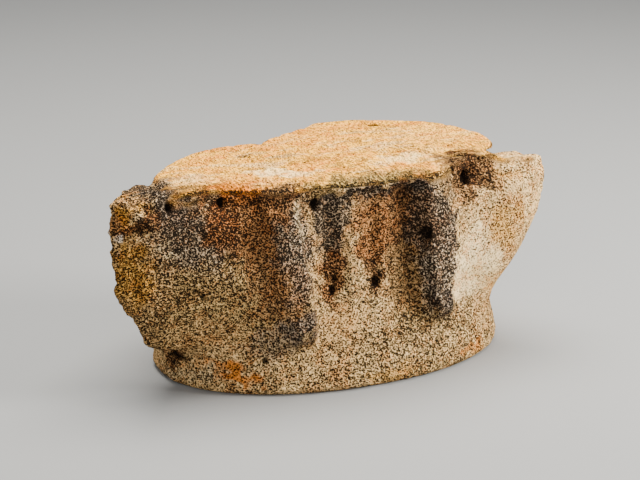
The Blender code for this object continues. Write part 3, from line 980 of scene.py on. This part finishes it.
def boneMaterial():
    finish = boneShader
    make = Finish("weathered bone")
    place = make.node("ShaderNodeTexCoord", {}, {}, "Object")
    wallTone = make.node("ShaderNodeAttribute", {"attribute_name": "tone"}, {}, "Color")
    poreShare = make.node("ShaderNodeAttribute", {"attribute_name": "pores"}, {}, "Fac")
    spongy = make.node("ShaderNodeAttribute", {"attribute_name": "sponge"}, {}, "Fac")
    face = make.node("ShaderNodeAttribute", {"attribute_name": "face"}, {}, "Fac")
    # a Mix node's vectors are its inputs 4 and 5, and their mix is output 1
    squeezed = make.node("ShaderNodeVectorMath", {"operation": "MULTIPLY"},
                         {0: place, 1: finish["faceStretch"]})
    grown = make.node("ShaderNodeMix", {"data_type": "VECTOR"}, {0: face, 4: place, 5: squeezed}, 1)

    # how much of the bone is pores here, and which cells are open
    drift = make.grain(place, *finish["drift"])
    middle = make.grain(place, *finish["middle"])
    curve, slope = finish["poreCurve"]
    wanted = poreShare * (poreShare * curve + slope) + (drift - 0.5) * finish["driftPores"]
    amount = make.node("ShaderNodeMath", {"operation": "MINIMUM"}, {0: wanted, 1: finish["mostPores"]})
    near, chance, other = make.cells(grown, finish["poreScale"])
    openness = chance * finish["chanceShare"] + near - finish["openOffset"]
    openness = openness + (middle - 0.5) * finish["middleShare"]
    small = 1.0 - make.step(openness, amount - finish["poreEdge"], amount + finish["poreEdge"])
    wide, wideChance = make.cells(place, finish["spongeScale"])[:2]
    pickedFrom, pickedTo = finish["widePicked"]
    notPicked = make.step(wideChance - spongy * finish["wideSponge"], amount - pickedFrom, amount - pickedTo)
    large = (1.0 - make.step(wide, *finish["wideEdge"])) * (1.0 - notPicked)
    pore = small + large - small * large
    strand = make.step(openness, amount, amount + finish["strandRise"])

    # the strands' colour with painted shade in their hollows, and the painted shade down in the pores
    warm = make.mix(1.0, wallTone, finish["warmth"], "MULTIPLY")
    warmed = make.step(drift + (other - 0.5) * finish["warmSpread"], *finish["warmEdge"])
    stained = make.mix(warmed * finish["warmShare"], wallTone, warm)
    shaded = make.mix(strand, make.mix(finish["strandShade"], stained, finish["black"]), stained)
    fewPores = make.step(poreShare, *finish["shallowPores"])
    shallow = face * fewPores * make.step(other, *finish["shallowChance"])
    deep = make.mix(shallow * finish["shallowShare"] + finish["deepShare"], finish["poreShade"], wallTone)
    colour = make.mix(pore, shaded, deep)

    bump = make.node("ShaderNodeBump", {}, {"Strength": finish["bumpStrength"],
                                            "Distance": finish["bumpDepth"], "Height": strand - pore})
    make.feed(make.shader.inputs["Base Color"], colour)
    make.feed(make.shader.inputs["Normal"], bump)
    make.shader.inputs["Roughness"].default_value = finish["roughness"]
    make.shader.inputs["Specular IOR Level"].default_value = finish["gloss"]
    return make.material


vertebra.data.materials.append(boneMaterial())
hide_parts("whale_vertebra")
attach(vertebra, "root")
print("bone finished")


# Floor, lights and camera

stage = {
    "floorColour": (0.27, 0.28, 0.30, 1.0),
    "floorRoughness": 0.7,
    "lightColour": (1.0, 0.94, 0.82),
    "lightAim": (0, 0, 0.08),
    "skyColour": (0.9, 0.95, 1.0, 1.0),
    "skyStrength": 0.25,
    "floorFront": 3.0,
    "floorHalfWidth": 4,
    "floorColumns": 9,
    "curveStart": 1.6,       # the floor turns up into a backdrop this far behind the bone
    "curveRadius": 1.0,
    "curveRows": 24,
    "wallHeight": 2.5,
}

view = {
    "target": (0.0141 + bone["axisX"], 0.0394, 0.075),
    "azimuth": -24.0,
    "elevation": 18.0,
    "distance": 1.4518,
    "fieldOfView": 20.0,
    "sensorWidth": 36.0,     # millimetres
}

lights = {
    "overhead": {"place": (0.15, 0.20, 1.7), "size": (1.5, 1.1), "watts": 86.0},
    "right": {"place": (1.15, -0.65, 0.62), "size": (0.45, 0.5), "watts": 44.0},
    "front": {"place": (-0.9, -1.9, 1.1), "size": (1.4, 1.2), "watts": 30.0},
}


def makeFloor():
    # a profile: flat, a quarter circle up, then straight, carried along X, turned to face the camera
    turns = np.linspace(0, np.pi / 2, stage["curveRows"])
    start, radius = stage["curveStart"], stage["curveRadius"]
    along = np.concatenate([[-stage["floorFront"]], start + radius * np.sin(turns), [start + radius]])
    height = np.concatenate([[0], radius * (1 - np.cos(turns)), [stage["wallHeight"]]])
    across = np.linspace(-stage["floorHalfWidth"], stage["floorHalfWidth"], stage["floorColumns"])
    turn = math.radians(view["azimuth"])
    sideways, forward = np.meshgrid(across, along)
    places = np.stack([sideways * math.cos(turn) - forward * math.sin(turn),
                       sideways * math.sin(turn) + forward * math.cos(turn),
                       np.repeat(height[:, None], len(across), axis=1)], axis=-1)
    index = np.arange(sideways.size).reshape(sideways.shape)
    faces = np.stack([index[:-1, :-1], index[:-1, 1:], index[1:, 1:], index[1:, :-1]], axis=-1).reshape(-1, 4)
    floor = makeMesh("floor", places.reshape(-1, 3), faces, np.zeros((0, 3), dtype=int), {})
    make = Finish("floor")
    make.shader.inputs["Base Color"].default_value = stage["floorColour"]
    make.shader.inputs["Roughness"].default_value = stage["floorRoughness"]
    floor.data.materials.append(make.material)


def makeLight(name, spec):
    # a soft box that faces the bone
    lamp = bpy.data.lights.new(name, "AREA")
    lamp.shape = "RECTANGLE"
    lamp.size, lamp.size_y = spec["size"]
    lamp.energy = spec["watts"]
    lamp.color = stage["lightColour"]
    holder = bpy.data.objects.new(name, lamp)
    holder.location = spec["place"]
    toBone = Vector(stage["lightAim"]) - holder.location
    holder.rotation_euler = toBone.to_track_quat("-Z", "Y").to_euler()
    bpy.context.collection.objects.link(holder)


def makeCamera():
    # looks at the target, turned from straight in front by the azimuth and raised by the elevation
    turn, lift = math.radians(view["azimuth"]), math.radians(view["elevation"])
    back = Vector((math.sin(turn) * math.cos(lift), -math.cos(turn) * math.cos(lift), math.sin(lift)))
    lens = bpy.data.cameras.new("camera")
    lens.sensor_width = view["sensorWidth"]
    lens.lens = view["sensorWidth"] / 2 / math.tan(math.radians(view["fieldOfView"] / 2))
    holder = bpy.data.objects.new("camera", lens)
    holder.location = Vector(view["target"]) + back * view["distance"]
    holder.rotation_euler = (-back).to_track_quat("-Z", "Y").to_euler()
    bpy.context.collection.objects.link(holder)
    bpy.context.scene.camera = holder


makeFloor()
for name, spec in lights.items():
    makeLight(name, spec)
makeCamera()
world = bpy.data.worlds.new("studio")
world.use_nodes = True
sky = world.node_tree.nodes["Background"]
sky.inputs["Color"].default_value = stage["skyColour"]
sky.inputs["Strength"].default_value = stage["skyStrength"]
bpy.context.scene.world = world
print("stage, lights and camera set")
